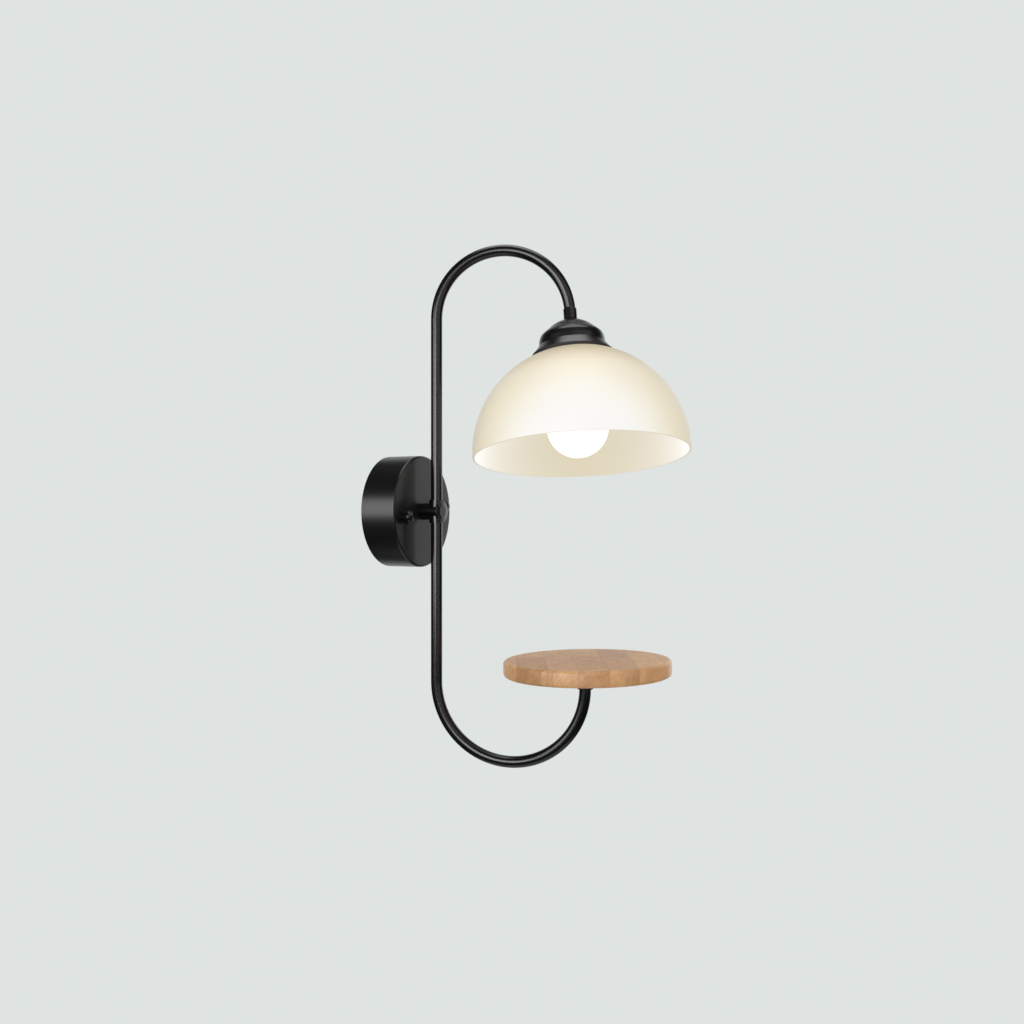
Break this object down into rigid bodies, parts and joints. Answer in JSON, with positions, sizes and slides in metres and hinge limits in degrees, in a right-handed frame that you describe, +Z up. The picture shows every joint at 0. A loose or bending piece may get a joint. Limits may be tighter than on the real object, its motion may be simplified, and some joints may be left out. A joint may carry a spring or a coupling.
{
  "type": "wall lamp with shelf",
  "caption": "Wall lamp on a round canopy: two bent tubes turn sideways in a tee, the upper one with a domed opal glass shade and its lamp, the lower one with a round wooden shelf.",
  "frame": {"origin": "centre of the canopy's back, on the wall", "axes": "+Z up, +Y into the wall, +X to the right when facing the wall"},
  "size_m": [0.1899, 0.2714, 0.466],
  "materials": {
    "black_coat": "matt black powder coat",
    "zinc": "zinc plated",
    "brass": "plain brass",
    "rubber": "black rubber",
    "holder": "white heat-proof plastic",
    "glass": "cream opal glass",
    "lamp_glass": "white opal glass",
    "beech": "oiled beech strips",
    "lead": "insulated cores"
  },
  "bodies": {
    "wall_part": {"canopy": "black_coat", "mounting_bar": "zinc", "bar_studs": "zinc", "cap_nuts": "black_coat", "earth_screw": "brass", "terminal_block": "holder", "terminal_screws": "brass", "canopy_leads": "lead", "tee": "black_coat", "tee_nipple": "zinc", "tee_washer": "zinc", "tee_nut": "zinc", "swivel_screws": "zinc"},
    "upper_arm": {"upper_tube": "black_coat", "arm_leads": "lead", "head_sleeve": "black_coat", "holder_nipple": "zinc", "holder_cup": "black_coat", "cup_washer": "zinc", "cup_nut": "zinc", "holder_cap": "holder", "holder_body": "holder", "holder_terminals": "brass", "thread_shell": "brass", "centre_contact": "brass", "shade_gasket": "rubber", "glass_shade": "glass"},
    "lower_arm": {"lower_tube": "black_coat", "shelf_stud": "zinc", "shelf_collar": "black_coat", "shelf_insert": "brass", "shelf_board": "beech"},
    "ring": {"shade_ring": "holder"},
    "lamp": {"bulb_globe": "lamp_glass", "bulb_cap": "zinc", "bulb_insulator": "rubber", "bulb_contact": "zinc"}
  },
  "joints": [
    {"name": "upper_swivel", "type": "hinge", "parent": "wall_part", "child": "upper_arm", "pos_m": [0, -0.0473, 0], "axis": [0, 0, 1], "range_deg": [-78.8, 41.2]},
    {"name": "lower_swivel", "type": "hinge", "parent": "wall_part", "child": "lower_arm", "pos_m": [0, -0.0473, 0], "axis": [0, 0, 1], "range_deg": [-69.1, 50.9]},
    {"name": "ring_turn", "type": "hinge", "parent": "upper_arm", "child": "ring", "pos_m": [0.03888, -0.16151, 0.17812], "axis": [0.123, 0.1174, 0.9854], "continuous": true},
    {"name": "lamp_turn", "type": "hinge", "parent": "upper_arm", "child": "lamp", "pos_m": [0.03888, -0.16151, 0.17812], "axis": [0.123, 0.1174, 0.9854], "continuous": true}
  ]
}
